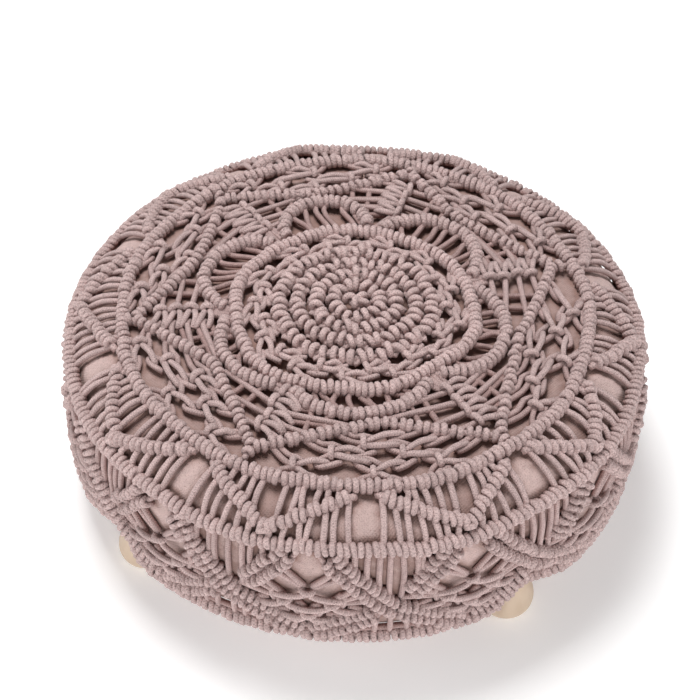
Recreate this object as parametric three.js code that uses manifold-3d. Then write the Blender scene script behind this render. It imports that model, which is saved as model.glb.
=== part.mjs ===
// A round macrame pouf: a filled drum cushion on four turned wooden feet, dressed in a cover
// knotted from cotton cord. Millimetres, +Z up, with the origin on the floor under the drum's middle.

import * as THREE from 'three';
import { mergeVertices } from 'three/addons/utils/BufferGeometryUtils.js';
import Module from 'manifold-3d';

const wasm = await Module();
wasm.setup();

// Feet and cushion
const FOOT_COUNT = 4;
const FOOT_HEIGHT = 34;
const FOOT_CIRCLE_RADIUS = 179;
const FIRST_FOOT_ANGLE = 36.8;
const FOOT_SEGMENTS = 20;
const PIECE_GAP = 0.3;
const CUSHION_BASE = FOOT_HEIGHT + PIECE_GAP;
const CUSHION_SEGMENTS = 48;
const PROFILE_ROWS = 19;

// Cord and cover: a bar is a row of hitches round a cord, a strand is one bare cord,
// and a band is a few cords that run side by side
const CORD_DIAMETER = 4;
const BAND_WIDTH = 12;
const BAR_WIDTH = 9.4;
const BAR_CROWN_WIDTH = 6.4;
const RING_HEIGHT = 8.2;
const ARM_HEIGHT = 6.4;
const RIDGE_SCALE = 0.86;
const BAR_LIFT = 0.9;
const STRAND_LIFT = 1.3;
const CROSSING_STRAND_LIFT = 1.7;
const SLIVER_SIZE = 0.35;

// Where the cover's rings lie: reach is the distance from the crown along the cushion's profile
const CENTRE_REACH = 64;
const INNER_RING_REACH = 80;
const UPPER_RING_REACH = 161.5;
const SHOULDER_RING_REACH = 200;
const HEM_REACH = 277;

// The drum's section, from the middle of its crown over the shoulder to the edge of its flat base
const cushionProfile = [
  { radius: 0, height: 110.5 },
  { radius: 40, height: 110 },
  { radius: 80, height: 107.8 },
  { radius: 120, height: 105 },
  { radius: 145, height: 103 },
  { radius: 161, height: 101.2 },
  { radius: 172, height: 98.4 },
  { radius: 182, height: 94.6 },
  { radius: 190, height: 89.8 },
  { radius: 195, height: 84.4 },
  { radius: 197.4, height: 77 },
  { radius: 198.2, height: 66 },
  { radius: 198.4, height: 46 },
  { radius: 198, height: 26 },
  { radius: 197.2, height: 12 },
  { radius: 195.4, height: 4.6 },
  { radius: 192.4, height: 1 },
  { radius: 189, height: 0 },
];

// A turned bun foot, from the floor up to its seat
const footProfile = [
  { radius: 0, height: 0 },
  { radius: 13, height: 0 },
  { radius: 16.6, height: 1.8 },
  { radius: 18.8, height: 6 },
  { radius: 19.2, height: 11 },
  { radius: 18, height: 18 },
  { radius: 15.4, height: 24.4 },
  { radius: 13.6, height: 29 },
  { radius: 13.4, height: FOOT_HEIGHT },
  { radius: 0, height: FOOT_HEIGHT },
];

// The star on the crown, as uneven as it was knotted: each point's tip, the valley after it,
// and the place on the inner ring where the petals either side of the point begin
const starPoints = [
  { tipAngle: -173.5, tipReach: 152, valleyAngle: -146, valleyReach: 107, petalAngle: -174 },
  { tipAngle: -116, tipReach: 147, valleyAngle: -81, valleyReach: 109, petalAngle: -119 },
  { tipAngle: -51.5, tipReach: 151, valleyAngle: -19.5, valleyReach: 111, petalAngle: -53.5 },
  { tipAngle: 18, tipReach: 147, valleyAngle: 49, valleyReach: 111, petalAngle: 15 },
  { tipAngle: 75, tipReach: 149, valleyAngle: 106, valleyReach: 116, petalAngle: 80 },
  { tipAngle: 131.5, tipReach: 150, valleyAngle: 158, valleyReach: 115, petalAngle: 129 },
];

// The zigzag over the shoulder: the angle of each lower tip
const zigzagTips = [-182.8, -142.8, -106.3, -67.6, -35.2, -4.6, 31.4, 67.4, 104.3, 138];
const ZIGZAG_HALF_ANGLE = 14;
const ZIGZAG_TOP_REACH = 164;
const ZIGZAG_TIP_REACH = 193;

// The lattice on the wall: each arm falls steeply from its apex, crosses its neighbour and runs out flatter
const LATTICE_COUNT = 12;
const LATTICE_PITCH = 360 / LATTICE_COUNT;
const FIRST_LATTICE_ANGLE = -127.5;
const latticeArm = [
  { turn: 0, reach: 206 },
  { turn: 15, reach: 249 },
  { turn: 30, reach: 273 },
];
const latticeHeights = [ARM_HEIGHT, 7.6];

const degrees = THREE.MathUtils.degToRad;
const mix = THREE.MathUtils.lerp;

const profileCurve = new THREE.SplineCurve(
  cushionProfile.map((row) => new THREE.Vector2(row.radius, row.height + CUSHION_BASE)),
);
profileCurve.arcLengthDivisions = 800;
const profileLength = profileCurve.getLength();

// A point on the cushion's cloth, lifted off it, with the cloth's outward normal there
function clothPoint(reach, angle, lift = 0) {
  const along = reach / profileLength;
  const place = profileCurve.getPointAt(along);
  const slope = profileCurve.getTangentAt(along);
  const turn = degrees(angle);
  const outward = new THREE.Vector3(-slope.y * Math.cos(turn), -slope.y * Math.sin(turn), slope.x);
  const position = new THREE.Vector3(place.x * Math.cos(turn), place.x * Math.sin(turn), place.y);
  return { position: position.addScaledVector(outward, lift), outward };
}

// Places are { reach, angle }; the crown's flat plan turns them into x and y and back
function toPlan({ reach, angle }) {
  return new THREE.Vector2(reach * Math.cos(degrees(angle)), reach * Math.sin(degrees(angle)));
}

function fromPlan(point) {
  return { reach: point.length(), angle: THREE.MathUtils.radToDeg(Math.atan2(point.y, point.x)) };
}

// A straight run on the crown, even in plan
function crownLine(from, to, steps) {
  const start = toPlan(from);
  const end = toPlan(to);
  return Array.from({ length: steps + 1 }, (_, k) => fromPlan(start.clone().lerp(end, k / steps)));
}

// A run over the shoulder or down the wall, even in reach and angle
function wallLine(from, to, steps) {
  return Array.from({ length: steps + 1 }, (_, k) => ({
    reach: mix(from.reach, to.reach, k / steps),
    angle: mix(from.angle, to.angle, k / steps),
  }));
}

function ringLine(reach, steps) {
  return Array.from({ length: steps }, (_, k) => ({ reach, angle: (360 * k) / steps }));
}

// The circle through three plan points
function circleThrough(a, b, c) {
  const ab = b.clone().sub(a);
  const ac = c.clone().sub(a);
  const cross = 2 * ab.cross(ac);
  const centre = new THREE.Vector2(
    a.x + (ac.y * ab.lengthSq() - ab.y * ac.lengthSq()) / cross,
    a.y + (ab.x * ac.lengthSq() - ac.x * ab.lengthSq()) / cross,
  );
  return { centre, radius: centre.distanceTo(a) };
}

function solidFrom(positions, triangles) {
  return new wasm.Manifold(
    new wasm.Mesh({
      numProp: 3,
      vertProperties: new Float32Array(positions.flatMap((p) => [p.x, p.y, p.z])),
      triVerts: new Uint32Array(triangles.flat()),
    }),
  );
}

// The two triangles of each quad between neighbouring rings of equally many points
function quadsBetween(first, second, count) {
  const faces = [];
  for (let i = 0; i < count; i += 1) {
    const next = (i + 1) % count;
    faces.push([first + i, first + next, second + next], [first + i, second + next, second + i]);
  }
  return faces;
}

// Sweeps a section along a route on the cloth, upright on it; every second station is drawn in by ridgeScale
function sweep(route, section, lift, { closed = false, ridgeScale = 1 } = {}) {
  const stations = route.map((place) => clothPoint(place.reach, place.angle, lift));
  const last = stations.length - 1;
  const positions = stations.flatMap(({ position, outward }, k) => {
    const before = stations[closed && k === 0 ? last : Math.max(k - 1, 0)].position;
    const after = stations[closed && k === last ? 0 : Math.min(k + 1, last)].position;
    const across = after.clone().sub(before).cross(outward).normalize();
    const scale = k % 2 ? ridgeScale : 1;
    return section.map((corner) =>
      position.clone()
        .addScaledVector(across, corner.across * scale)
        .addScaledVector(outward, corner.up * scale),
    );
  });
  const sides = section.length;
  const triangles = [];
  for (let k = 0; k < last + (closed ? 1 : 0); k += 1) {
    triangles.push(...quadsBetween(k * sides, ((k + 1) % stations.length) * sides, sides));
  }
  if (!closed) {
    for (let i = 1; i < sides - 1; i += 1) {
      triangles.push([0, i + 1, i], [last * sides, last * sides + i, last * sides + i + 1]);
    }
  }
  return solidFrom(positions, triangles);
}

const barSection = (height) => [
  { across: -BAR_WIDTH / 2, up: 0 },
  { across: -BAR_CROWN_WIDTH / 2, up: height },
  { across: BAR_CROWN_WIDTH / 2, up: height },
  { across: BAR_WIDTH / 2, up: 0 },
];

const strandSection = (width) => [
  { across: -width / 2, up: 0 },
  { across: 0, up: CORD_DIAMETER },
  { across: width / 2, up: 0 },
];

function bar(route, height, closed = false) {
  return sweep(route, barSection(height), BAR_LIFT, { closed, ridgeScale: RIDGE_SCALE });
}

function strand(route, lift = STRAND_LIFT) {
  return sweep(route, strandSection(CORD_DIAMETER), lift);
}

function band(route, lift = STRAND_LIFT) {
  return sweep(route, strandSection(BAND_WIDTH), lift);
}

// The middle of the cover: close rounds of loops, raised and sunk from stitch to stitch
const CENTRE_ROUNDS = 4;
const CENTRE_STITCHES = 20;
const centreForm = { thickness: 5.6, loopHeight: 1.3, sunkShare: 0.3, rimThickness: 4.4 };

function centreDisc() {
  const { thickness, loopHeight, sunkShare, rimThickness } = centreForm;
  const rowPitch = CENTRE_REACH / (2 * CENTRE_ROUNDS);
  const rows = [{ reach: 0, lift: thickness, lump: 0 }];
  for (let k = 1; k < 2 * CENTRE_ROUNDS; k += 1) {
    rows.push({ reach: k * rowPitch, lift: thickness, lump: k % 2 ? loopHeight : -loopHeight });
  }
  rows.push({ reach: CENTRE_REACH, lift: rimThickness, lump: 0 });
  rows.push({ reach: CENTRE_REACH, lift: BAR_LIFT, lump: 0 });
  rows.push({ reach: 0, lift: BAR_LIFT, lump: 0 });
  const positions = [];
  const starts = rows.map(({ reach, lift, lump }) => {
    const start = positions.length;
    const stops = reach === 0 ? 1 : CENTRE_STITCHES;
    for (let i = 0; i < stops; i += 1) {
      const raised = lift + (i % 2 ? lump : sunkShare * lump);
      positions.push(clothPoint(reach, (360 * i) / CENTRE_STITCHES, raised).position);
    }
    return start;
  });
  const triangles = [];
  const final = rows.length - 1;
  for (let i = 0; i < CENTRE_STITCHES; i += 1) {
    const next = (i + 1) % CENTRE_STITCHES;
    triangles.push([starts[0], starts[1] + i, starts[1] + next]);
    triangles.push([starts[final], starts[final - 1] + next, starts[final - 1] + i]);
  }
  for (let k = 1; k < final - 1; k += 1) {
    triangles.push(...quadsBetween(starts[k + 1], starts[k], CENTRE_STITCHES));
  }
  return solidFrom(positions, triangles);
}

// Short strands that tie the middle to the inner ring
const CENTRE_TIES = 10;
const TIE_START_REACH = CENTRE_REACH - 3;

function centreTies() {
  return Array.from({ length: CENTRE_TIES }, (_, k) => {
    const angle = (360 * k) / CENTRE_TIES;
    return strand(crownLine({ reach: TIE_START_REACH, angle }, { reach: INNER_RING_REACH, angle }, 1));
  });
}

const ringSteps = { inner: 28, upper: 40, shoulder: 48, hem: 48 };

function ringBars() {
  return [
    bar(ringLine(INNER_RING_REACH, ringSteps.inner), RING_HEIGHT, true),
    bar(ringLine(UPPER_RING_REACH, ringSteps.upper), RING_HEIGHT, true),
    bar(ringLine(SHOULDER_RING_REACH, ringSteps.shoulder), RING_HEIGHT, true),
    bar(ringLine(HEM_REACH, ringSteps.hem), RING_HEIGHT, true),
  ];
}

// Each star point with the one after it, whose angles are carried on past a full turn
const starPairs = starPoints.map((point, k) => {
  const following = starPoints[(k + 1) % starPoints.length];
  const turn = k + 1 < starPoints.length ? 0 : 360;
  return {
    tip: { reach: point.tipReach, angle: point.tipAngle },
    valley: { reach: point.valleyReach, angle: point.valleyAngle },
    nextTip: { reach: following.tipReach, angle: following.tipAngle + turn },
    petalStart: point.petalAngle,
    petalEnd: following.petalAngle + turn,
  };
});

const STAR_ARM_STEPS = 3;

function starBar() {
  const route = starPairs.flatMap(({ tip, valley, nextTip }) => [
    ...crownLine(tip, valley, STAR_ARM_STEPS).slice(0, -1),
    ...crownLine(valley, nextTip, STAR_ARM_STEPS).slice(0, -1),
  ]);
  return bar(route, RING_HEIGHT, true);
}

// A petal springs from the inner ring, touches the star's valley and comes back to the ring
const PETAL_FOOT_REACH = INNER_RING_REACH + 3;
const PETAL_FOOT_TURN = 6.4;
const PETAL_STEPS = 6;
const PETAL_BAND_TURNS = [-9, 9];

function petalCircle({ valley, petalStart, petalEnd }) {
  return circleThrough(
    toPlan({ reach: PETAL_FOOT_REACH, angle: petalStart + PETAL_FOOT_TURN }),
    toPlan(valley),
    toPlan({ reach: PETAL_FOOT_REACH, angle: petalEnd - PETAL_FOOT_TURN }),
  );
}

function petalBar(pair) {
  const { centre, radius } = petalCircle(pair);
  const heading = (angle) => toPlan({ reach: PETAL_FOOT_REACH, angle }).sub(centre).angle();
  const first = heading(pair.petalStart + PETAL_FOOT_TURN);
  let final = heading(pair.petalEnd - PETAL_FOOT_TURN);
  if (final < first) final += 2 * Math.PI;
  const arc = new THREE.ArcCurve(centre.x, centre.y, radius, first, final, false);
  return bar(arc.getPoints(PETAL_STEPS).map(fromPlan), ARM_HEIGHT);
}

function petalBands(pair) {
  const { centre, radius } = petalCircle(pair);
  return PETAL_BAND_TURNS.map((turn) => {
    const angle = pair.valley.angle + turn;
    const ray = toPlan({ reach: 1, angle });
    const middle = centre.dot(ray);
    const reach = middle + Math.sqrt(radius ** 2 - centre.lengthSq() + middle ** 2);
    return band(crownLine({ reach: INNER_RING_REACH, angle }, { reach, angle }, 1));
  });
}

// Inside each star point a row of knots runs down the middle, crossed by a strand that slants from arm to arm
const SPINE_START_REACH = INNER_RING_REACH;
const SPINE_RIB = { spineShare: 0.5, armShare: 0.5 };

function spineStrands(k) {
  const { tip, valley } = starPairs[k];
  const before = starPairs[(k + starPairs.length - 1) % starPairs.length].valley;
  const start = { reach: SPINE_START_REACH, angle: tip.angle };
  const between = (a, b, share) => fromPlan(toPlan(a).lerp(toPlan(b), share));
  const root = between(start, tip, SPINE_RIB.spineShare);
  const [left, right] = [valley, before].map((side) => between(side, tip, SPINE_RIB.armShare));
  return [strand(crownLine(start, tip, 1)), strand([left, root, right], CROSSING_STRAND_LIFT)];
}

// Between two star points an open net hangs from the upper ring: crossing strands from either arm
const NET_RUNS = [
  { armShare: 0.3, ringShare: 0.6 },
  { armShare: 0.66, ringShare: 0.36 },
];

function netStrands({ tip, valley, nextTip }) {
  const onArm = (end, share) => fromPlan(toPlan(valley).lerp(toPlan(end), share));
  const onRing = (share) => ({ reach: UPPER_RING_REACH, angle: mix(tip.angle, nextTip.angle, share) });
  return NET_RUNS.flatMap(({ armShare, ringShare }) => [
    strand(crownLine(onArm(tip, armShare), onRing(ringShare), 1)),
    strand(crownLine(onArm(nextTip, armShare), onRing(1 - ringShare), 1), CROSSING_STRAND_LIFT),
  ]);
}

// The zigzag over the shoulder, with bands of cord that run straight through it from ring to ring
const ZIGZAG_STEPS = 3;
const ZIGZAG_BAND_TURNS = [-6.6, 6.6];

function zigzagBar(tipAngle) {
  const tip = { reach: ZIGZAG_TIP_REACH, angle: tipAngle };
  const start = { reach: ZIGZAG_TOP_REACH, angle: tipAngle - ZIGZAG_HALF_ANGLE };
  const end = { reach: ZIGZAG_TOP_REACH, angle: tipAngle + ZIGZAG_HALF_ANGLE };
  const route = [...wallLine(start, tip, ZIGZAG_STEPS), ...wallLine(tip, end, ZIGZAG_STEPS).slice(1)];
  return bar(route, ARM_HEIGHT);
}

function zigzagBands(tipAngle) {
  return ZIGZAG_BAND_TURNS.map((turn) => {
    const angle = tipAngle + turn;
    const top = { reach: UPPER_RING_REACH, angle };
    return band(wallLine(top, { reach: SHOULDER_RING_REACH, angle }, 2), CROSSING_STRAND_LIFT);
  });
}

// The lattice on the wall, with bands of cord hung in its upper triangles and down its diamonds
const latticeSteps = [3, 2, 2, 3];
const HUNG_BAND_TURN = 15;
const hungReaches = [SHOULDER_RING_REACH, 214, 246];

// Every second apex belongs to the same bar, which zigzags all the way round
function latticeBar(height, firstApexAngle) {
  const pitch = 2 * LATTICE_PITCH;
  const apexes = Array.from({ length: LATTICE_COUNT / 2 }, (_, k) => firstApexAngle + k * pitch);
  const corners = apexes.flatMap((apex) => [
    ...latticeArm.map(({ turn, reach }) => ({ reach, angle: apex + turn })),
    ...latticeArm.slice(1, -1).map(({ turn, reach }) => ({ reach, angle: apex + pitch - turn })),
  ]);
  const last = { ...corners[0], angle: corners[0].angle + 360 };
  const route = [...corners, last].flatMap((corner, k, all) =>
    k === 0 ? [] : wallLine(all[k - 1], corner, latticeSteps[(k - 1) % latticeSteps.length]).slice(0, -1),
  );
  return bar(route, height, true);
}

function latticeBands(apexAngle) {
  const between = apexAngle + HUNG_BAND_TURN;
  const hung = band(hungReaches.map((reach) => ({ reach, angle: between })));
  const apex = { reach: latticeArm[0].reach, angle: apexAngle };
  const diamond = band(wallLine(apex, { reach: HEM_REACH, angle: apexAngle }, 2));
  return [hung, diamond];
}

function coverGeometry() {
  const apexes = Array.from({ length: LATTICE_COUNT }, (_, k) => FIRST_LATTICE_ANGLE + k * LATTICE_PITCH);
  const joined = wasm.Manifold.union([
    centreDisc(),
    ...centreTies(),
    ...ringBars(),
    starBar(),
    ...starPairs.map(petalBar),
    ...starPairs.flatMap(petalBands),
    ...starPairs.flatMap((_, k) => spineStrands(k)),
    ...starPairs.flatMap(netStrands),
    ...zigzagTips.map(zigzagBar),
    ...zigzagTips.flatMap(zigzagBands),
    ...latticeHeights.map((height, k) => latticeBar(height, apexes[k])),
    ...apexes.flatMap(latticeBands),
  ]).simplify(SLIVER_SIZE);
  const { vertProperties, triVerts } = joined.getMesh();
  const geometry = new THREE.BufferGeometry();
  geometry.setAttribute('position', new THREE.BufferAttribute(vertProperties, 3));
  geometry.setIndex(new THREE.BufferAttribute(triVerts, 1));
  return mergeVertices(geometry);
}

// A closed turned solid about +Z from a profile that runs from axis to axis, upwards
function turnedGeometry(profile, segments) {
  return new THREE.LatheGeometry(profile, segments).rotateX(Math.PI / 2);
}

function cushionGeometry() {
  const rows = profileCurve.getSpacedPoints(PROFILE_ROWS).reverse();
  rows[rows.length - 1].x = 0;
  return turnedGeometry([new THREE.Vector2(0, CUSHION_BASE), ...rows], CUSHION_SEGMENTS);
}

function footGeometry() {
  return turnedGeometry(footProfile.map((row) => new THREE.Vector2(row.radius, row.height)), FOOT_SEGMENTS);
}

const cushionCloth = new THREE.MeshStandardMaterial({ color: 0xc9a79f, roughness: 0.95, metalness: 0 });
const cottonCord = new THREE.MeshStandardMaterial({ color: 0xb9a09b, roughness: 0.92, metalness: 0 });
const paleWood = new THREE.MeshStandardMaterial({ color: 0xe0cda6, roughness: 0.55, metalness: 0 });

function namedMesh(name, geometry, material) {
  const mesh = new THREE.Mesh(geometry, material);
  mesh.name = name;
  return mesh;
}

const pouf = new THREE.Group();
pouf.add(namedMesh('cushion', cushionGeometry(), cushionCloth));
pouf.add(namedMesh('macrame_cover', coverGeometry(), cottonCord));

for (let k = 0; k < FOOT_COUNT; k += 1) {
  const foot = namedMesh(`foot_${k + 1}`, footGeometry(), paleWood);
  const turn = degrees(FIRST_FOOT_ANGLE + (360 * k) / FOOT_COUNT);
  foot.position.set(FOOT_CIRCLE_RADIUS * Math.cos(turn), FOOT_CIRCLE_RADIUS * Math.sin(turn), 0);
  pouf.add(foot);
}

export default pouf;
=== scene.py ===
import math

import bmesh
import bpy
import numpy as np
from mathutils import Matrix, Vector
from mathutils.kdtree import KDTree


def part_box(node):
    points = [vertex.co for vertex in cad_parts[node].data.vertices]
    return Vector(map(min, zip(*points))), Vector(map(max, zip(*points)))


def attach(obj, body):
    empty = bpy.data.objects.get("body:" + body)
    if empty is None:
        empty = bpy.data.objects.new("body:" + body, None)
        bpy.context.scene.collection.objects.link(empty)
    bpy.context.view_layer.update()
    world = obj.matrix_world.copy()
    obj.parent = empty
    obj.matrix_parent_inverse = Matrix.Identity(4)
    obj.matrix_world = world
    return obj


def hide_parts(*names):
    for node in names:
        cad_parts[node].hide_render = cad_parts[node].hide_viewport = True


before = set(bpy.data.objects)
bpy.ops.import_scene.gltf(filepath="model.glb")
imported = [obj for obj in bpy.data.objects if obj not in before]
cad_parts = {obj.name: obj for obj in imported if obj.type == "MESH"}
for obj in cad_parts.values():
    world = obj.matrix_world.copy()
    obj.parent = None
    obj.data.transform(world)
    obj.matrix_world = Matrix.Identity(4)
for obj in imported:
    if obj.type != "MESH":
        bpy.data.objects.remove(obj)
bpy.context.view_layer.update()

scene = bpy.context.scene
rng = np.random.default_rng(23)
mm = 0.001  # sizes below are in millimetres


def unit(vectors):
    return vectors / np.linalg.norm(vectors, axis=-1, keepdims=True)


# a smooth line through the points, perSpan steps between neighbours
def smoothPath(points, perSpan):
    points = np.asarray(points, float)
    line = np.vstack([2 * points[0] - points[1], points, 2 * points[-1] - points[-2]])
    t = np.linspace(0, 1, perSpan, endpoint=False)[:, None]
    spans = []
    for a, b, c, d in zip(line, line[1:], line[2:], line[3:]):
        bend = 2 * a - 5 * b + 4 * c - d
        twist = 3 * b - a - 3 * c + d
        spans.append(b + 0.5 * ((c - a) * t + bend * t ** 2 + twist * t ** 3))
    return np.vstack(spans + [points[-1:]])


# the distance run at each point of a line
def runLengths(line):
    return np.concatenate([[0], np.cumsum(np.linalg.norm(np.diff(line, axis=0), axis=1))])


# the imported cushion's section, one row of radius and height per ring, crown first
def readSection(node, rowGap=0.05):
    points = np.array([v.co for v in node.data.vertices]) / mm
    middle = (points.min(axis=0) + points.max(axis=0)) / 2
    radii = np.hypot(points[:, 0] - middle[0], points[:, 1] - middle[1])
    rows = []
    for k in np.argsort(-points[:, 2]):
        if rows and rows[-1][1] - points[k, 2] < rowGap:
            rows[-1][0] = max(rows[-1][0], radii[k])
        else:
            rows.append([radii[k], points[k, 2]])
    return middle, smoothPath(rows, 12)


drumMiddle, sectionLine = readSection(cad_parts["cushion"])
sectionReach = runLengths(sectionLine)
sectionSlope = unit(np.gradient(sectionLine, sectionReach, axis=0))

firstFoot = 36.8  # degrees; the others stand a quarter turn apart

# the cover and the cloth are drawn in over each foot, and between the feet the cover hangs lower
gather = {"depth": 7.0, "heights": (45, 64), "sag": 4.5, "sagHeights": (42, 96), "sharpness": 10}


def overFoot(turn):
    return np.clip(np.cos(4 * (turn - math.radians(firstFoot))), 0, 1) ** gather["sharpness"]


def drawnIn(height, turn):
    return gather["depth"] * overFoot(turn) * np.interp(height, gather["heights"], (1, 0))


def sagged(height, turn):
    return gather["sag"] * (1 - overFoot(turn)) * np.interp(height, gather["sagHeights"], (1, 0))


# a place on the cushion: reach is the distance from the crown over the cloth, lift is off the cloth
def clothPoint(reach, angle, lift=0.0):
    radius, height = (np.interp(reach, sectionReach, sectionLine[:, k]) for k in (0, 1))
    slopeOut, slopeUp = (np.interp(reach, sectionReach, sectionSlope[:, k]) for k in (0, 1))
    turn = np.radians(angle)
    spread = radius - slopeUp * lift - drawnIn(height, turn)
    return np.stack([drumMiddle[0] + spread * np.cos(turn),
                     drumMiddle[1] + spread * np.sin(turn),
                     height + slopeOut * lift - sagged(height, turn)], axis=-1)


# how far points stand off the cloth
def offCloth(points):
    east, north = points[:, 0] - drumMiddle[0], points[:, 1] - drumMiddle[1]
    turn = np.arctan2(north, east)
    spread = np.hypot(east, north) + drawnIn(points[:, 2], turn)
    level = points[:, 2] + sagged(points[:, 2], turn)
    nearest = np.full(len(points), np.inf)
    for radius, height in sectionLine:
        nearest = np.minimum(nearest, np.hypot(spread - radius, level - height))
    return nearest


wallRadius = 198.0  # where the wall's chart is true to size


# two charts of the cloth: the crown's plan, and the wall unrolled with its rows of reach downwards
def crown(places, lift=0.0):
    return clothPoint(np.hypot(places[..., 0], places[..., 1]),
                      np.degrees(np.arctan2(places[..., 1], places[..., 0])), lift)


def wall(places, lift=0.0):
    return clothPoint(-places[..., 1], np.degrees(places[..., 0] / wallRadius), lift)


def crownPlace(reach, angle):
    return np.array([reach * math.cos(math.radians(angle)), reach * math.sin(math.radians(angle))])


def wallPlace(reach, angle):
    return np.array([math.radians(angle) * wallRadius, -reach])


cord = {"radius": 2.15, "sides": 7, "uneven": 0.03, "fullRise": 7.0, "tones": (0, 0.62)}
# how unlike each other hitches and knots are: shares of their size, and millimetres aside and along
byHand = {"half": 0.06, "rise": 0.08, "aside": 0.45, "along": 0.34}


# cords are kept as batches of equally long paths and turned into one mesh per piece
def addPaths(cords, paths, radius=None):
    count, steps = paths.shape[:2]
    own = 1 + cord["uneven"] * rng.standard_normal((count, 1))
    along = 1 + 0.5 * cord["uneven"] * rng.standard_normal((count, steps))
    size = cord["radius"] if radius is None else np.asarray(radius)
    cords.append((paths, size * own * along))


def addCord(cords, chart, places, perSpan=2, radius=None):
    line = smoothPath([[*at, lift] for at, lift in places], perSpan)
    addPaths(cords, chart(line[:, :2], line[:, 2])[None], radius)


# the cloth's own directions at these places: ahead, to the right and off the cloth
def clothFrames(chart, places, headings):
    base = chart(places)
    up = unit(chart(places, 1.0) - base)
    ahead = chart(places + 0.5 * headings) - chart(places - 0.5 * headings)
    ahead = unit(ahead - up * (ahead * up).sum(axis=-1, keepdims=True))
    return base, ahead, np.cross(ahead, up), up


# short cords arched over whatever lies along the headings
def addArches(cords, chart, places, headings, arch):
    base, ahead, side, up = (part[:, None] for part in clothFrames(chart, places, headings))
    count = len(places)
    swing = np.radians(np.linspace(-arch["sweep"], arch["sweep"], arch["points"]))
    half = arch["half"] * (1 + byHand["half"] * rng.standard_normal((count, 1)))
    rise = arch["rise"] * (1 + byHand["rise"] * rng.standard_normal((count, 1)))
    lean = np.tan(np.radians(arch["lean"] + arch["leanSpread"] * rng.standard_normal((count, 1))))
    across = half * np.sin(swing)
    aside = across + byHand["aside"] * rng.standard_normal((count, 1))
    along = lean * across + arch["bow"] * np.cos(swing)
    lift = arch["base"] + rise * np.cos(swing)
    paths = base + ahead * along[..., None] + side * aside[..., None] + up * lift[..., None]
    addPaths(cords, paths, arch.get("radius"))


# places on a route at these distances from its start
def alongRoute(route, lengths, stops):
    return np.stack([np.interp(stops, lengths, route[:, k]) for k in (0, 1)], axis=-1)


barCore = {"step": 8.0, "tail": 3.4, "tailLift": 1.4}


# a bar: hitches side by side round a core cord, in twos where pairGap is given
def addBar(cords, chart, route, bar):
    lengths = runLengths(chart(route))
    count = max(2, round(lengths[-1] / bar["pitch"]))
    stops = (np.arange(count) + 0.5) / count * lengths[-1]
    if bar["pairGap"]:
        stops = np.concatenate([stops - bar["pairGap"] / 2, stops + bar["pairGap"] / 2])
    stops = np.sort(stops + byHand["along"] * rng.standard_normal(len(stops)))
    before, after = (alongRoute(route, lengths, stops + step) for step in (-1.5, 1.5))
    addArches(cords, chart, alongRoute(route, lengths, stops), unit(after - before), bar)
    coreStops = np.linspace(0, lengths[-1], max(3, round(lengths[-1] / barCore["step"])))
    spots = alongRoute(route, lengths, coreStops)
    tails = [(a + barCore["tail"] * unit(a - b), barCore["tailLift"]) for a, b in (spots[:2], spots[:-3:-1])]
    core = [(at, bar["coreLift"]) for at in spots]
    addCord(cords, chart, tails[:1] + core + tails[1:], 2, bar["coreRadius"])


# routes in a chart
def straight(start, end, steps=12):
    return start + (end - start) * np.linspace(0, 1, steps + 1)[:, None]


# the right-hand side of directions in a chart
def rightOf(directions):
    return directions[..., ::-1] * [1, -1]


def offsetRoute(route, distance):
    return route + distance * rightOf(unit(np.gradient(route, axis=0)))


def sway(route, size, waves):
    phase = rng.uniform(0, 2 * math.pi)
    t = np.linspace(0, 2 * math.pi * waves, len(route))
    return offsetRoute(route, (size * np.sin(t + phase))[:, None])


# a knot's own directions: ahead along the cords that enter and leave it, across to the right of that
def knotAt(at, ahead):
    return {"at": np.asarray(at, float), "ahead": unit(np.asarray(ahead, float))}


def crownKnot(reach, angle, hub=(0, 0)):
    turn = math.radians(angle + 90)
    return knotAt(crownPlace(reach, angle) + hub, (math.cos(turn), math.sin(turn)))


def by(knot, along, across):
    return knot["at"] + along * knot["ahead"] + across * rightOf(knot["ahead"])


squareKnot = {"half": 3.7, "rise": 3.9, "base": 4.4, "sweep": 118, "points": 9, "lean": 5, "leanSpread": 7,
              "bow": -0.6, "radius": 2.12}
knotLeg = {"radius": 1.65, "swell": 0.55, "swellSpan": (0.12, 0.9)}


def addKnotLoops(cords, chart, knots, shape=squareKnot):
    places, headings = (np.array([knot[key] for knot in knots]) for key in ("at", "ahead"))
    addArches(cords, chart, places, headings, shape)


# a leg of a knot: thick where it bulges out from under the loop, its tip tucked in
def addLeg(cords, chart, places, perSpan=3):
    share = np.linspace(*knotLeg["swellSpan"], perSpan * (len(places) - 1) + 1)
    addCord(cords, chart, places, perSpan, knotLeg["radius"] + knotLeg["swell"] * np.sin(share * math.pi))


netLink = {"length": 29.0, "sizes": (0.5, 1.1)}


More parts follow.
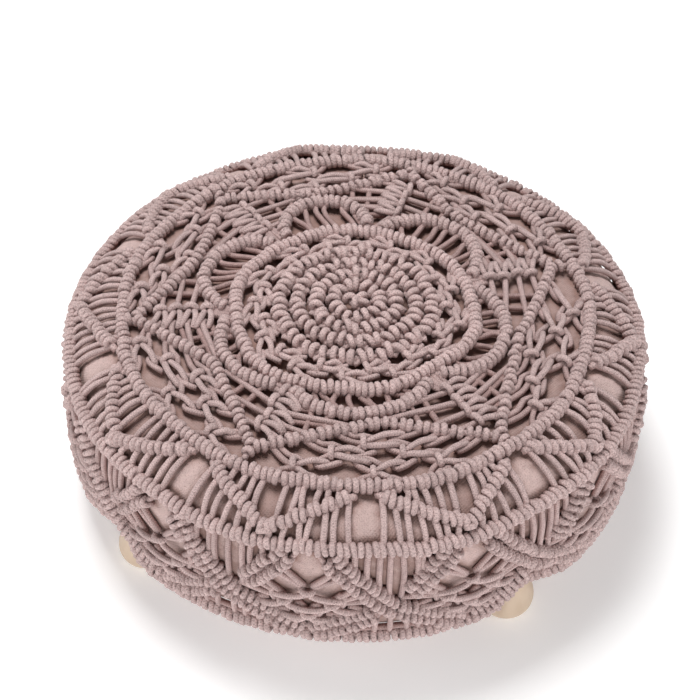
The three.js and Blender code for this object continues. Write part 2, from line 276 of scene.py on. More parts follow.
# one link of a net: a leg of the first knot, its tip laid in the bight that comes back from the second
# the sides are 1 or -1 where the cord leaves and enters a knot, and 0 where that end is a bar
def addLink(cords, chart, start, end, outSide, inSide):
    run = end["at"] - start["at"]
    length = np.linalg.norm(run)
    right = rightOf(run) / length
    smallest, largest = netLink["sizes"]
    size = min(max(length / netLink["length"], smallest), largest)
    beside = lambda share, aside: start["at"] + share * run + aside * right
    tip = by(end, -4 * size, 8.2 * size * inSide) if inSide else beside(0.64, 0)
    if outSide:
        root = by(start, 4.2, 2.3 * outSide)
        bulge = (root + tip) / 2 + by(start, 0, 0.9 * outSide) - start["at"]
        tucked = tip + 2.5 * unit(tip - bulge)
        addLeg(cords, chart, [(by(start, 0.2, outSide), 3.4), (root, 5.4), (bulge, 6.2), (tip, 4.4),
                              (tucked, 2.3)])
    if outSide and inSide:
        # along, across and lift from the second knot
        bight = [(0.4, 0.8, 2.9), (-3 * size, 2.2 * size, 2.5), (-8 * size, 6 * size, 2.3),
                 (-10.3 * size, 9.4 * size, 2.1), (-7.5 * size, 12.2 * size, 2.5),
                 (-0.5, 4 + 6 * size, 3.1), (7, 5.2, 2.4)]
        addCord(cords, chart, [(by(end, along, across * inSide), lift) for along, across, lift in bight])
    elif outSide:
        for aside in (-1, 1):
            addCord(cords, chart, [(beside(0.42, 0.7 * aside), 2.1), (beside(0.56, 2.2 * aside), 2.3),
                                   (beside(0.76, 2.4 * aside), 2.6), (end["at"] + 1.9 * aside * right, 2.4)])
    else:
        addCord(cords, chart, [(start["at"] - 1.6 * inSide * right, 2.3), (beside(0.5, -1.8 * inSide), 2.2),
                               (by(end, -3.2, 1.8 * inSide), 2.4), (by(end, 0.4, 0.8 * inSide), 2.9)])
        addCord(cords, chart, [(start["at"] + 2.2 * inSide * right, 2.3), (beside(0.55, 3 * inSide), 2.6),
                               (by(end, -0.5, (4 + 5 * size) * inSide), 3.0),
                               (by(end, 7, 5.2 * inSide), 2.4)])


# a bare cord from place to place, bowed to one side and curled like an S
def addStrand(cords, chart, start, end, bow=0.0, lifts=(2.4, 2.6, 2.4), curl=0.0):
    side = rightOf(unit(end - start))
    spots = np.array([0, 0.2, 0.5, 0.8, 1])
    aside = bow * np.sin(math.pi * spots) + curl * np.sin(2 * math.pi * spots)
    rises = np.interp(spots, (0, 0.5, 1), lifts)
    line = start + (end - start) * spots[:, None] + side * aside[:, None]
    addCord(cords, chart, list(zip(line, rises)))


# rings of points round each path, turned as little as may be from one to the next
def tubeRings(paths, radii, sides):
    tangents = unit(np.gradient(paths, axis=1))
    first = tangents[:, 0]
    pick = np.where(np.abs(first[:, 2:]) < 0.8, [[0.0, 0.0, 1.0]], [[1.0, 0.0, 0.0]])
    normal = unit(np.cross(first, pick))
    turn = 2 * math.pi * np.arange(sides) / sides
    rings = []
    for k in range(paths.shape[1]):
        t = tangents[:, k]
        normal = unit(normal - t * (normal * t).sum(axis=1, keepdims=True))
        across, over = normal[:, None], np.cross(t, normal)[:, None]
        circle = across * np.cos(turn)[:, None] + over * np.sin(turn)[:, None]
        rings.append(paths[:, k, None] + radii[:, k, None, None] * circle)
    return np.stack(rings, axis=1)


# equally long cords as tubes: u runs round each cord, v along it in centimetres, and each has its own tone
def tubeBatch(paths, radii, start, tones):
    count, steps = paths.shape[:2]
    sides = cord["sides"]
    index = start + np.arange(count * steps * sides).reshape(count, steps, sides)
    near, far = index[:, :-1], index[:, 1:]
    quads = np.stack([near, np.roll(near, -1, 2), np.roll(far, -1, 2), far], -1)
    shades = np.repeat(rng.uniform(*tones, count), steps * sides)
    gone = np.cumsum(np.linalg.norm(np.diff(paths, axis=1), axis=2), axis=1) / 10
    gone = np.concatenate([np.zeros((count, 1)), gone], axis=1) + rng.random((count, 1))
    u = np.arange(sides + 1) / sides
    corners = [(u[:-1], gone[:, :-1]), (u[1:], gone[:, :-1]), (u[1:], gone[:, 1:]), (u[:-1], gone[:, 1:])]
    uvs = [np.stack(np.broadcast_arrays(a[None, None, :], v[:, :, None]), -1) for a, v in corners]
    return {"points": tubeRings(paths, radii, sides).reshape(-1, 3), "shades": shades,
            "quads": quads.reshape(-1, 4), "uvs": np.stack(uvs, -2).reshape(-1, 2),
            "caps": np.concatenate([index[:, 0, ::-1], index[:, -1]])}


# one mesh of cords; its rise is how far each point stands off the cloth, 1 at fullRise, and the cord material
# paints shade where the rise is low
def cordPiece(name, cords, material, fullRise=cord["fullRise"], tones=cord["tones"]):
    byLength = {}
    for paths, radii in cords:
        byLength.setdefault(paths.shape[1], []).append((paths, radii))
    batches, start = [], 0
    for steps in sorted(byLength):
        paths, radii = (np.concatenate(part) for part in zip(*byLength[steps]))
        batches.append(tubeBatch(paths, radii, start, tones))
        start += len(batches[-1]["points"])
    points, shades, quads, uvs, caps = (np.concatenate([batch[key] for batch in batches])
                                        for key in ("points", "shades", "quads", "uvs", "caps"))
    mesh = bpy.data.meshes.new(name)
    mesh.from_pydata(points * mm, [], quads.tolist() + caps.tolist())
    uvs = np.concatenate([uvs, np.full((caps.size, 2), 0.5)])
    mesh.uv_layers.new(name="cordRun").data.foreach_set("uv", uvs.astype(np.float32).ravel())
    rise = np.clip(offCloth(points) / fullRise, 0, 1)
    for label, values in (("tone", shades), ("rise", rise)):
        mesh.attributes.new(label, "FLOAT", "POINT").data.foreach_set("value", values.astype(np.float32))
    mesh.shade_smooth()
    mesh.materials.append(material)
    piece = bpy.data.objects.new(name, mesh)
    scene.collection.objects.link(piece)
    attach(piece, "root")
    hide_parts("macrame_cover")
    print(name, "faces", len(mesh.polygons))
    return piece


# a node's inputs are given as values, or as the sockets that feed them
def setInputs(tree, node, inputs):
    for key, value in inputs.items():
        if isinstance(value, bpy.types.NodeSocket):
            tree.links.new(value, node.inputs[key])
        else:
            node.inputs[key].default_value = value


def addNode(tree, kind, inputs, **settings):
    node = tree.nodes.new(kind)
    for key, value in settings.items():
        setattr(node, key, value)
    setInputs(tree, node, inputs)
    return node


def newGroup(name, inputs, outputs):
    group = bpy.data.node_groups.new(name, "ShaderNodeTree")
    for label, kind in inputs.items():
        group.interface.new_socket(label, in_out="INPUT", socket_type=kind)
    for label, kind in outputs.items():
        group.interface.new_socket(label, in_out="OUTPUT", socket_type=kind)
    return group, group.nodes.new("NodeGroupInput").outputs, group.nodes.new("NodeGroupOutput")


def newMaterial(name):
    material = bpy.data.materials.new(name)
    material.use_nodes = True
    tree = material.node_tree
    return material, tree, tree.nodes["Principled BSDF"]


# undyed fibre: soft mottling and small dark flecks
def cottonFleckGroup():
    group, given, made = newGroup(
        "cottonFleck",
        {"Vector": "NodeSocketVector", "Base": "NodeSocketColor", "Fleck": "NodeSocketColor",
         "FleckScale": "NodeSocketFloat", "FleckFrom": "NodeSocketFloat", "FleckFull": "NodeSocketFloat"},
        {"Color": "NodeSocketColor", "Fibre": "NodeSocketFloat"})
    mottle = addNode(group, "ShaderNodeTexNoise", {
        "Vector": given["Vector"], "Scale": 260, "Detail": 3, "Roughness": 0.65})
    spots = addNode(group, "ShaderNodeTexNoise", {
        "Vector": given["Vector"], "Scale": given["FleckScale"], "Detail": 2, "Roughness": 0.6})
    soft = addNode(group, "ShaderNodeMapRange", {
        "Value": mottle.outputs["Fac"], "From Min": 0.34, "From Max": 0.66, "To Min": 0.91, "To Max": 1.08})
    mottled = addNode(group, "ShaderNodeVectorMath", {
        "Vector": given["Base"], "Scale": soft.outputs["Result"]}, operation="SCALE")
    fleckMask = addNode(group, "ShaderNodeMapRange", {
        "Value": spots.outputs["Fac"], "From Min": given["FleckFrom"], "From Max": given["FleckFull"]})
    flecked = addNode(group, "ShaderNodeMix", {
        "Factor": fleckMask.outputs["Result"], "A": mottled.outputs["Vector"],
        "B": given["Fleck"]}, data_type="RGBA")
    setInputs(group, made, {"Color": flecked.outputs["Result"], "Fibre": spots.outputs["Fac"]})
    return group


# two crossing sets of diagonal ridges from a pair of coordinates
def plaitGroup():
    group, given, made = newGroup(
        "plaitRidges",
        {"Vector": "NodeSocketVector", "Around": "NodeSocketFloat", "Along": "NodeSocketFloat"},
        {"Height": "NodeSocketFloat"})
    split = addNode(group, "ShaderNodeSeparateXYZ", {0: given["Vector"]}).outputs
    turns = addNode(group, "ShaderNodeMath", {0: split["X"], 1: given["Around"]}, operation="MULTIPLY")
    runs = addNode(group, "ShaderNodeMath", {0: split["Y"], 1: given["Along"]}, operation="MULTIPLY")
    ridges = []
    for operation in ("ADD", "SUBTRACT"):
        slant = addNode(group, "ShaderNodeMath", {
            0: turns.outputs[0], 1: runs.outputs[0]}, operation=operation)
        ridges.append(addNode(group, "ShaderNodeMath", {0: slant.outputs[0]}, operation="SINE"))
    top = addNode(group, "ShaderNodeMath", {
        0: ridges[0].outputs[0], 1: ridges[1].outputs[0]}, operation="MAXIMUM")
    setInputs(group, made, {"Height": top.outputs[0]})
    return group


cottonFleck = cottonFleckGroup()
plaitRidges = plaitGroup()


# flecked cotton, its colour between the look's dark and light as the factor gives, which on cords and cloth
# is painted shade
def addCotton(tree, look, factor):
    hues = addNode(tree, "ShaderNodeMix", {
        "Factor": factor, "A": look["dark"], "B": look["light"]}, data_type="RGBA")
    place = addNode(tree, "ShaderNodeTexCoord", {})
    fleckFrom, fleckFull = look["fleckSpan"]
    return addNode(tree, "ShaderNodeGroup", {
        "Vector": place.outputs["Object"], "Base": hues.outputs["Result"], "Fleck": look["fleck"],
        "FleckScale": look["fleckScale"], "FleckFrom": fleckFrom,
        "FleckFull": fleckFull}, node_tree=cottonFleck)


# plaited ridges along a UV map, with this many half turns per unit of u and of v
def addPlait(tree, uvMap, halfTurns):
    run = addNode(tree, "ShaderNodeUVMap", {}, uv_map=uvMap)
    around, along = (math.pi * turns for turns in halfTurns)
    return addNode(tree, "ShaderNodeGroup", {
        "Vector": run.outputs["UV"], "Around": around, "Along": along}, node_tree=plaitRidges)


# painted shade: dark beside the cloth and light where it stands proud, with painted shade in the plait's
# grooves; each cord a little lighter or darker than the next
cordLook = {"dark": (0.29, 0.146, 0.127, 1), "light": (0.568, 0.424, 0.408, 1), "proud": 0.85,
            "fleck": (0.13, 0.068, 0.06, 1), "fleckScale": 2100, "fleckSpan": (0.575, 0.645),
            "lightness": (0.93, 1.14), "grooveShade": (0.87, 1.06), "halfTurns": (6, 12)}


def cottonCordMaterial():
    material, tree, shader = newMaterial("cottonCord")
    rise = addNode(tree, "ShaderNodeAttribute", {}, attribute_name="rise")
    # painted shade: darker and redder towards the cloth, fully lit from this share of fullRise up
    proud = addNode(tree, "ShaderNodeMapRange", {
        "Value": rise.outputs["Fac"], "From Min": 0.0,
        "From Max": cordLook["proud"]}, interpolation_type="SMOOTHSTEP")
    cotton = addCotton(tree, cordLook, proud.outputs["Result"])
    plait = addPlait(tree, "cordRun", cordLook["halfTurns"])
    tone = addNode(tree, "ShaderNodeAttribute", {}, attribute_name="tone")
    darkest, lightest = cordLook["lightness"]
    lightness = addNode(tree, "ShaderNodeMapRange", {
        "Value": tone.outputs["Fac"], "To Min": darkest, "To Max": lightest})
    # painted shade in the plait's grooves, a little painted light on its ridges
    deepest, highest = cordLook["grooveShade"]
    grooveShade = addNode(tree, "ShaderNodeMapRange", {
        "Value": plait.outputs["Height"], "From Min": -0.3, "From Max": 0.9, "To Min": deepest,
        "To Max": highest})
    value = addNode(tree, "ShaderNodeMath", {
        0: lightness.outputs["Result"], 1: grooveShade.outputs["Result"]}, operation="MULTIPLY")
    shade = addNode(tree, "ShaderNodeHueSaturation", {
        "Value": value.outputs["Value"], "Color": cotton.outputs["Color"]})
    ridges = addNode(tree, "ShaderNodeBump", {
        "Strength": 0.5, "Distance": 0.0004, "Height": plait.outputs["Height"]})
    fibres = addNode(tree, "ShaderNodeBump", {
        "Strength": 0.6, "Distance": 0.0003, "Height": cotton.outputs["Fibre"],
        "Normal": ridges.outputs["Normal"]})
    setInputs(tree, shader, {
        "Base Color": shade.outputs["Color"], "Normal": fibres.outputs["Normal"], "Roughness": 0.94,
        "Specular IOR Level": 0.16, "Sheen Weight": 0.14, "Sheen Roughness": 0.5})
    return material


# plain weave with painted shade: dark under the cords, on the crown and above each zigzag tip, and light
# where it is open
clothLook = {"dark": (0.33, 0.2, 0.17, 1), "light": (0.57, 0.42, 0.395, 1), "fleck": (0.3, 0.19, 0.17, 1),
             "fleckScale": 1500, "fleckSpan": (0.55, 0.72), "halfTurns": (0.9, 0.9)}


def cushionClothMaterial():
    material, tree, shader = newMaterial("cushionCloth")
    paintedLight = addNode(tree, "ShaderNodeAttribute", {}, attribute_name="paintedLight")
    cotton = addCotton(tree, clothLook, paintedLight.outputs["Fac"])
    plait = addPlait(tree, "weaveRun", clothLook["halfTurns"])
    threads = addNode(tree, "ShaderNodeBump", {
        "Strength": 0.5, "Distance": 0.0003, "Height": plait.outputs["Height"]})
    setInputs(tree, shader, {
        "Base Color": cotton.outputs["Color"], "Normal": threads.outputs["Normal"], "Roughness": 0.95,
        "Specular IOR Level": 0.15, "Sheen Weight": 0.18, "Sheen Roughness": 0.5})
    return material


woodLook = {"light": (0.60, 0.47, 0.355, 1), "dark": (0.55, 0.42, 0.31, 1), "stretch": (1, 1, 0.12),
            "lean": (0.06, 0.1, 0), "rings": 42, "pores": 900}


def paleWoodMaterial():
    material, tree, shader = newMaterial("paleWood")
    place = addNode(tree, "ShaderNodeTexCoord", {})
    turned = addNode(tree, "ShaderNodeMapping", {
        "Vector": place.outputs["Object"], "Scale": woodLook["stretch"], "Rotation": woodLook["lean"]})
    along = turned.outputs["Vector"]
    warp = addNode(tree, "ShaderNodeTexNoise", {"Vector": along, "Scale": 40, "Detail": 3})
    grain = addNode(tree, "ShaderNodeTexWave", {
        "Vector": along, "Scale": woodLook["rings"], "Distortion": 5, "Detail": 3, "Detail Scale": 1.4,
        "Phase Offset": warp.outputs["Fac"]}, wave_type="RINGS", rings_direction="Z")
    hues = addNode(tree, "ShaderNodeMix", {
        "Factor": grain.outputs["Fac"], "A": woodLook["light"], "B": woodLook["dark"]}, data_type="RGBA")
    pores = addNode(tree, "ShaderNodeTexNoise", {"Vector": along, "Scale": woodLook["pores"], "Detail": 2})
    bump = addNode(tree, "ShaderNodeBump", {
        "Strength": 0.1, "Distance": 0.0002, "Height": pores.outputs["Fac"]})
    setInputs(tree, shader, {
        "Base Color": hues.outputs["Result"], "Normal": bump.outputs["Normal"], "Roughness": 0.48,
        "Specular IOR Level": 0.4})
    return material


cordMaterial = cottonCordMaterial()
clothMaterial = cushionClothMaterial()
woodMaterial = paleWoodMaterial()

# hitched bars, their hitches in twos: close on rings and arches, apart on the star
tightBar = {"pitch": 8.9, "pairGap": 4.2, "half": 2.9, "rise": 4.3, "base": 3.9, "sweep": 118, "points": 8,
            "lean": 8, "leanSpread": 8, "bow": 0.4, "radius": 2.2, "coreLift": 3.3, "coreRadius": 2.7}
innerBar = {**tightBar, "base": 4.7, "coreLift": 4.4}
rimBar = {**tightBar, "base": 3.1, "coreLift": 2.7}
looseBar = {**tightBar, "pitch": 11.2, "pairGap": 4.7, "half": 2.3, "rise": 4.1, "coreLift": 4.2,
            "coreRadius": 2.0}
slimBar = {**tightBar, "pitch": 9.5, "pairGap": 4.5, "base": 3.4, "half": 2.6, "radius": 2.0,
           "coreRadius": 1.9}

# the inner ring, pulled out of round by the petals; its angles and reaches are taken from the middle
middle = {"at": np.array([0.8, -3.7]), "reach": 80.0, "stitchPitch": 6.3,
          "rounds": (0.045, 0.195, 0.345, 0.495, 0.645), "roundSpread": {"turn": 0.09, "reach": 0.8},
          "coreLift": 3.2, "weave": {"along": 3.1, "across": 4.4, "lift": 2.1},
          "netKnots": 26, "net": (0.775, 0.865), "netSpread": {"turn": 0.6, "reach": 0.7}, "netStart": 0.7,
          "anchorTurn": 1.5, "sway": (0.4, 8), "fullRise": 4.6, "tones": (0.4, 1)}
ringShape = [{"angle": -175, "reach": 82.5}, {"angle": -156, "reach": 84.5}, {"angle": -138, "reach": 89.0},
             {"angle": -119, "reach": 85.0}, {"angle": -102, "reach": 81.0}, {"angle": -68, "reach": 81.0},
             {"angle": -50, "reach": 78.0}, {"angle": -16, "reach": 84.0}, {"angle": 11, "reach": 77.5},
             {"angle": 30, "reach": 77.5}, {"angle": 65, "reach": 73.0}, {"angle": 86, "reach": 75.0},
             {"angle": 127, "reach": 77.0}, {"angle": 156, "reach": 81.5}, {"angle": 169, "reach": 85.0}]
spiralLoop = {**squareKnot, "half": 3.5, "rise": 4.9, "base": 3.9, "sweep": 112, "lean": -8, "leanSpread": 10,
              "radius": 2.35}
spiralLeg = {**spiralLoop, "rise": 4.3, "lean": 16}
lowKnot = {**squareKnot, "half": 3.4, "rise": 3.3, "base": 3.4, "radius": 2.15}


# a share below 1 lies inside the ring, and the rounds are rounder towards the middle
def ringReach(angle, share=1.0):
    pull = np.interp(angle, [p["angle"] for p in ringShape], [p["reach"] for p in ringShape], period=360)
    return share * (middle["reach"] + share * (pull - middle["reach"]))


def ringPlace(angle, further=0.0):
    return crownPlace(ringReach(angle) + further, angle) + middle["at"]


# the cords of the ring of knots lie lower than the rest
def lowCrown(places, lift=0.0):
    return crown(places, 0.8 * lift)


def middleKnot(share, turn, stray=0.0):
    return crownKnot(ringReach(turn, share) + stray, turn, middle["at"])


# close rounds of loops, with a cord through each round and one woven below that shows between the loops
def addRounds(cords):
    weave, spread = middle["weave"], middle["roundSpread"]
    for share in middle["rounds"]:
        count = 2 * max(2, round(math.pi * share * middle["reach"] / middle["stitchPitch"]))
        first = rng.uniform(0, 360)
        turns = first + 360 * (np.arange(count) + rng.normal(0, spread["turn"], count)) / count
        knots = [middleKnot(share, turn, rng.normal(0, spread["reach"])) for turn in turns]
        addKnotLoops(cords, crown, knots[::2], spiralLoop)
        addKnotLoops(cords, crown, knots[1::2], spiralLeg)
        closed = knots + knots[:2]
        addCord(cords, crown, [(knot["at"], middle["coreLift"]) for knot in closed], 3)
        addCord(cords, crown, [(by(knot, weave["along"], weave["across"] * (-1) ** k), weave["lift"])
                               for k, knot in enumerate(closed)], 3)


# the middle: the rounds, a ring of net knots round them, and the inner ring
def makeMiddle():
    cords = []
    addRounds(cords)
    count, spread = middle["netKnots"], middle["netSpread"]
    turns = 360 * np.arange(count) / count + rng.normal(0, spread["turn"], count)
    ring = [middleKnot(middle["net"][k % 2], turn, rng.normal(0, spread["reach"]))
            for k, turn in enumerate(turns)]
    addKnotLoops(cords, crown, ring, lowKnot)
    for k, knot in enumerate(ring):
        outer = 1 if k % 2 else -1  # the knots take turns nearer the rim and nearer the crown
        addLink(cords, lowCrown, knot, ring[(k + 1) % count], -outer, outer)
        anchorShare = 1 if outer > 0 else middle["netStart"]
        anchor = middleKnot(anchorShare, 360 * (k + 1) / count + middle["anchorTurn"])
        addLink(cords, lowCrown, knot, anchor, outer, 0)
    route = np.array([ringPlace(angle) for angle in np.linspace(0, 360, 73)])
    addBar(cords, crown, smoothPath(sway(route, *middle["sway"]), 3), innerBar)
    return cordPiece("middleKnots", cords, cordMaterial, middle["fullRise"], middle["tones"])


# the star: each point's tip and the valley after it, and where the petals meet on the inner ring
# the net's middle lies over the valley, a little aside
starTable = [
    {"tip": -173.5, "tipReach": 152, "valley": -146, "valleyReach": 107, "petal": -173.5, "net": -145.5},
    {"tip": -116, "tipReach": 147, "valley": -81, "valleyReach": 109, "petal": -120.5, "net": -86.3},
    {"tip": -51.5, "tipReach": 151, "valley": -19.5, "valleyReach": 111, "petal": -52.5, "net": -20.6},
    {"tip": 18, "tipReach": 147, "valley": 49, "valleyReach": 111, "petal": 17.5, "net": 46},
    {"tip": 75, "tipReach": 149, "valley": 106, "valleyReach": 116, "petal": 81.5, "net": 103.5},
    {"tip": 131.5, "tipReach": 150, "valley": 158, "valleyReach": 115, "petal": 130.5, "net": 158},
]
petal = {"footOut": 6.5, "footTurn": 3.6, "drop": 4.6, "strandPitch": 7.6, "lifts": (2.2, 1.4, 2.2),
         "turnSpread": 0.6, "bow": 3.2, "bowSpread": 2.4, "curl": 2.6, "curlSpread": 1.9, "sway": (0.4, 1)}
upperRing = 161.5


# part of a circle from a over b to c
def arcThrough(a, b, c, steps=48):
    ab, ac = b - a, c - a
    cross = 2 * (ab[0] * ac[1] - ab[1] * ac[0])
    squareB, squareC = ab @ ab, ac @ ac
    hub = a + np.array([ac[1] * squareB - ab[1] * squareC, ab[0] * squareC - ac[0] * squareB]) / cross
    first, last = (math.atan2(*(p - hub)[::-1]) for p in (a, c))
    if last < first:
        last += 2 * math.pi
    turns = np.linspace(first, last, steps + 1)
    return hub + np.linalg.norm(a - hub) * np.stack([np.cos(turns), np.sin(turns)], axis=-1)


def planReach(route):
    return np.hypot(route[:, 0], route[:, 1])


def planAngle(route, near):
    angles = np.degrees(np.arctan2(route[:, 1], route[:, 0]))
    return near + (angles - near + 180) % 360 - 180


# the petals: an arched bar each, with bare cords fanned out below it
def makePetals():
    cords, arcs = [], []
    for k, point in enumerate(starTable):
        following = starTable[(k + 1) % len(starTable)]
        last = following["petal"] + (360 if following["petal"] < point["petal"] else 0)
        first, last = point["petal"] + petal["footTurn"], last - petal["footTurn"]
        feet = [ringPlace(a, petal["footOut"]) for a in (first, last)]
        arc = arcThrough(feet[0], crownPlace(point["valleyReach"] - petal["drop"], point["valley"]), feet[1])
        arcs.append(arc)
        addBar(cords, crown, sway(arc, *petal["sway"]), tightBar)
        inside = np.linspace(0, 1, len(arc))
        angles = planAngle(arc - middle["at"], point["valley"])
        footLength = math.radians(last - first) * (middle["reach"] + petal["footOut"])
        count = round(footLength / petal["strandPitch"])
        for i in range(1, count):
            share = i / count
            angle = first + share * (last - first)
            t = np.interp(angle + rng.normal(0, petal["turnSpread"]), angles, inside)
            end = np.array([np.interp(t, inside, arc[:, j]) for j in (0, 1)])
            bow = petal["bow"] * (1 - 2 * share) + rng.normal(0, petal["bowSpread"])
            curl = petal["curl"] + rng.normal(0, petal["curlSpread"])
            addStrand(cords, crown, ringPlace(angle), end, bow, petal["lifts"], curl)
    return cords, arcs


# a star point's rows of knots: reach back from its tip, with strands from arm to arm
kite = {"rows": (49.5, 39.0, 28.5, 18.5), "turn": -1.5, "turnSpread": 0.4, "armSway": (0.5, 1), "tipOut": 4.5,
        "underTurns": (11, 17), "underLifts": (1.6, 1.3, 1.6), "underBow": 0.8, "shortest": 12.0,
        "rootTurns": (-4.2, -1.4, 1.4, 4.2), "rootBow": 0.5}
# the legs of these knots, nearer the crown and nearer the rim: along, across and lift
kiteLegs = [[(0.2, -1.0, 3.4), (4.4, -2.5, 5.6), (10.0, -2.9, 6.1), (14.6, -1.4, 4.2), (16.6, -0.4, 2.4)],
            [(0.2, 1.0, 3.4), (4.4, 2.3, 5.6), (9.6, 4.4, 5.8), (14.0, 7.2, 4.0), (15.6, 8.4, 2.4)]]
tipLoop = {**squareKnot, "half": 2.6, "rise": 3.6}


# where a star point's edge lies at this reach: its arm, or the petal below the valley
def edgePlace(arc, arm, reach, near):
    edge = arm if reach > planReach(arm).min() + 1 else arc
    order = np.argsort(planReach(edge))
    return crownPlace(reach, np.interp(reach, planReach(edge)[order], planAngle(edge, near)[order]))


# the star's outline: two bars from each valley, and a knob on each tip
def makeArms(cords):
    arms = []
    for k, point in enumerate(starTable):
        following = starTable[(k + 1) % len(starTable)]
        valley = crownPlace(point["valleyReach"] + petal["drop"], point["valley"])
        down = straight(crownPlace(point["tipReach"], point["tip"]), valley)
        up = straight(valley, crownPlace(following["tipReach"], following["tip"]))
        arms.append((down, up))
        for arm in (down, up):
            addBar(cords, crown, sway(arm, *kite["armSway"]), looseBar)
        tipAt = crownPlace(point["tipReach"] + kite["tipOut"], point["tip"])
        tipKnob = knotAt(tipAt, crownPlace(1, point["tip"]))
        addKnotLoops(cords, crown, [tipKnob], tipLoop)
        addCord(cords, crown, [(by(tipKnob, along, 0), 3.8) for along in (-6, -2, 2, 6)])
    return arms


# one knot of a star point: a cord from its aft edge, two legs, and a high and a low cord to its fore edge
def addKiteKnot(cords, knot, near, aftEdge, foreEdge):
    reach = float(np.hypot(*knot["at"]))
    start = edgePlace(*aftEdge, reach + 1, near)
    addCord(cords, crown, [(start, 2.4), ((start + by(knot, -3, 0)) / 2, 2.7), (by(knot, -3, 0.4), 2.9),
                           (by(knot, 0.6, 0.2), 2.9)])
    for leg in kiteLegs:
        addLeg(cords, crown, [(by(knot, along, across), lift) for along, across, lift in leg])
    high, low = by(knot, 13.5, 3.2), by(knot, 8, -1.0)
    end = edgePlace(*foreEdge, reach + 6.5, near)
    addCord(cords, crown, [(by(knot, 9, 1.5), 2.0), (high, 3.0), ((end + high) / 2, 2.8), (end, 2.4)])
    end = edgePlace(*foreEdge, reach - 2.5, near)
    addCord(cords, crown, [(low, 1.3), ((end + low) / 2, 1.0), (end, 1.3)], 3)


# bare cords below the knots, from the petal's edge to the arm
def addUnderCords(cords, near, aftEdge, foreEdge):
    for turn in kite["underTurns"]:
        for edges, side in ((aftEdge, -1), (foreEdge, 1)):
            angle = near + side * turn
            reaches = [np.interp(side * angle, side * planAngle(edge, near)[::side], planReach(edge)[::side])
                       for edge in edges]
            start, end = (crownPlace(reach, angle) for reach in reaches)
            if np.linalg.norm(end - start) > kite["shortest"]:
                addStrand(cords, crown, start, end, rng.normal(0, kite["underBow"]), kite["underLifts"])


# the star points' insides
def makeKites(cords, arcs, arms):
    for k, point in enumerate(starTable):
        halfArc = len(arcs[k]) // 2
        aftEdge, foreEdge = (arcs[k - 1][halfArc:], arms[k - 1][1]), (arcs[k][:halfArc], arms[k][0])
        middleTurn = point["tip"] + kite["turn"]
        knots = [crownKnot(point["tipReach"] - back, middleTurn + rng.normal(0, kite["turnSpread"]))
                 for back in kite["rows"]]
        addKnotLoops(cords, crown, knots)
        for knot in knots:
            addKiteKnot(cords, knot, point["tip"], aftEdge, foreEdge)
        addUnderCords(cords, point["tip"], aftEdge, foreEdge)
        for turn in kite["rootTurns"]:
            root = ringPlace(point["petal"] + turn)
            addStrand(cords, crown, root, by(knots[0], 0.8 * turn, -2.5), rng.normal(0, kite["rootBow"]))


# rows of net knots between two star points: reach, and degrees from the net's middle
netRows = [(127.3, (0,)), (137.8, (-10, 9.8)), (150, (-17.8, 0.4, 18.4))]
net = {"spread": {"reach": 0.8, "turn": 0.7}, "armShares": (0.3, 0.6, 0.86), "ringTurns": (-4.5, 7.5)}


def netKnot(reach, angle):
    spread = net["spread"]
    return crownKnot(reach + rng.normal(0, spread["reach"]), angle + rng.normal(0, spread["turn"]))


def makeNets(cords, arms):
    inTurn, outTurn = net["ringTurns"]
    for point, (down, up) in zip(starTable, arms):
        hub = point["net"]
        rows = [[netKnot(reach, hub + turn) for turn in turns] for reach, turns in netRows]
        for row in rows:
            addKnotLoops(cords, crown, row)
        onArm = lambda arm, share: knotAt(arm[round(share * (len(arm) - 1))], rows[0][0]["ahead"])
        onRing = lambda turn: crownKnot(upperRing, hub + turn)
        for row, share in zip(rows, net["armShares"]):
            addLink(cords, crown, onArm(down, 1 - share), row[0], 0, -1)
            addLink(cords, crown, row[-1], onArm(up, share), -1, 0)
        for row, outerRow in zip(rows, rows[1:]):
            for j, knot in enumerate(row):
                addLink(cords, crown, outerRow[j], knot, -1, 1)
                addLink(cords, crown, knot, outerRow[j + 1], 1, -1)
        for knot, turn in zip(rows[-1], netRows[-1][1]):
            addLink(cords, crown, onRing(turn + inTurn), knot, 0, 1)
            addLink(cords, crown, knot, onRing(turn + outTurn), 1, 0)


# the shoulder: zigzag bars between the upper and the shoulder ring, with cords running through them
zigzagTips = [-182.8, -142.8, -106.3, -67.6, -35.2, -4.6, 31.4, 67.4, 104.3, 138]
shoulder = {"ring": 200.0, "top": 168.0, "tip": 193.0, "tipOut": 2.5, "window": 3.4, "leans": (22, -12),
            "ringSway": (0.9, 9), "barSway": (0.5, 1), "strandPitch": 2.45, "tipGap": 0.9, "shortest": 9.0,
            "strandLifts": (2.4, 4.4, 2.4), "leanSpread": 0.5, "bowSpread": 0.8}


def ringRoute(reach, steps=180):
    return np.array([crownPlace(reach, 360 * k / steps) for k in range(steps + 1)])


# cords from the upper ring to the zigzag, and on from there to the shoulder ring
def addShoulderCords(cords, tip, ends):
    first, last = ends
    steps = round((last - first) / shoulder["strandPitch"])
    for i in range(steps + 1):
        angle = first + (last - first) * i / steps
        span = (tip - first) if angle < tip else (tip - last)
        cross = shoulder["tip"] - (shoulder["tip"] - shoulder["top"]) * (tip - angle) / span
        lean = rng.normal(0, shoulder["leanSpread"])
        onBar = crownPlace(cross, angle)
        if cross - upperRing > shoulder["shortest"] and abs(angle - tip) > shoulder["tipGap"]:
            addStrand(cords, crown, crownPlace(upperRing, angle + lean), onBar,
                      rng.normal(0, shoulder["bowSpread"]), shoulder["strandLifts"])
        if shoulder["ring"] - cross > shoulder["shortest"]:
            addStrand(cords, crown, onBar, crownPlace(shoulder["ring"], angle - lean),
                      rng.normal(0, shoulder["bowSpread"]), shoulder["strandLifts"])


